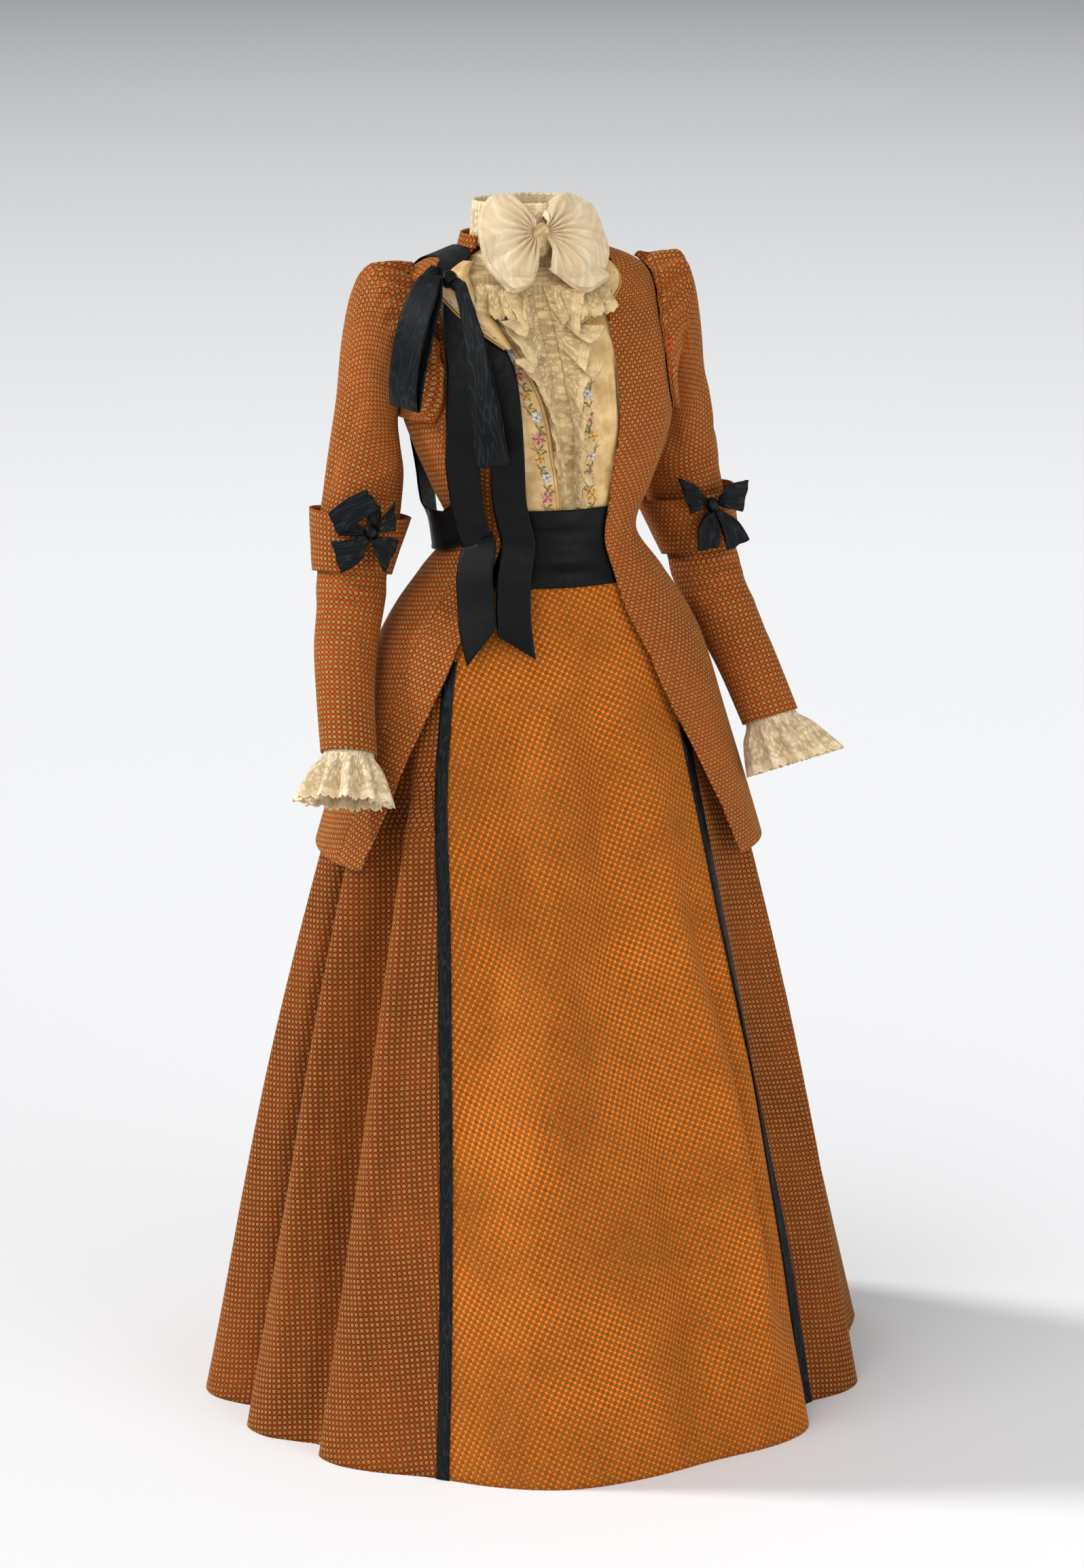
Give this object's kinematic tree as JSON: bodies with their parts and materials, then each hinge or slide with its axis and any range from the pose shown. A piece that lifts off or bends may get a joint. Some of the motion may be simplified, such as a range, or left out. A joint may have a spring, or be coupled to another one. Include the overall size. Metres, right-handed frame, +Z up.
{
  "type": "walking suit",
  "caption": "Woman's walking suit in its worn shape: flared skirt, cutaway jacket with elbow cuffs, vest, lace jabot, sash and ribbon bows.",
  "frame": {"origin": "middle of the waist inside the skirt's top edge, where the wearer holds the suit up", "axes": "+Z up, the wearer faces -Y, +X is the wearer's left"},
  "size_m": [0.7995, 0.762, 1.373],
  "materials": {
    "dotted_velvet": "voided silk velvet with small raised olive gold dots on a rust orange ground",
    "moire_ribbon": "black watered silk ribbon",
    "black_satin": "black silk satin",
    "cream_satin": "cream silk satin embroidered with small flower sprigs",
    "cream_lace": "cream machine lace on net"
  },
  "bodies": {
    "root": {"back_loop": "black_satin", "chemisette": "cream_lace", "cuff_frill_left": "cream_lace", "cuff_frill_right": "cream_lace", "cuff_left": "dotted_velvet", "cuff_right": "dotted_velvet", "elbow_knot_left": "moire_ribbon", "elbow_knot_right": "moire_ribbon", "elbow_loop_left_1": "moire_ribbon", "elbow_loop_left_2": "moire_ribbon", "elbow_loop_left_3": "moire_ribbon", "elbow_loop_left_4": "moire_ribbon", "elbow_loop_right_1": "moire_ribbon", "elbow_loop_right_2": "moire_ribbon", "elbow_loop_right_3": "moire_ribbon", "elbow_loop_right_4": "moire_ribbon", "jabot_left": "cream_lace", "jabot_right": "cream_lace", "jacket_back_left": "dotted_velvet", "jacket_back_right": "dotted_velvet", "jacket_collar": "dotted_velvet", "jacket_front_left": "dotted_velvet", "jacket_front_right": "dotted_velvet", "jacket_side_left": "dotted_velvet", "jacket_side_right": "dotted_velvet", "lapel_left": "cream_satin", "lapel_right": "cream_satin", "neck_bow_knot": "cream_lace", "neck_bow_left": "cream_lace", "neck_bow_right": "cream_lace", "neck_collar": "cream_lace", "over_shoulder": "black_satin", "sash": "black_satin", "short_loop_inner": "moire_ribbon", "short_loop_outer": "moire_ribbon", "shoulder_knot": "black_satin", "skirt_back": "dotted_velvet", "skirt_band_left": "moire_ribbon", "skirt_band_right": "moire_ribbon", "skirt_front": "dotted_velvet", "skirt_side_left": "dotted_velvet", "skirt_side_right": "dotted_velvet", "sleeve_lower_left": "dotted_velvet", "sleeve_lower_right": "dotted_velvet", "sleeve_upper_left": "dotted_velvet", "sleeve_upper_right": "dotted_velvet", "streamer_inner": "black_satin", "streamer_outer": "black_satin", "vest_front_left": "cream_satin", "vest_front_right": "cream_satin"}
  },
  "joints": []
}
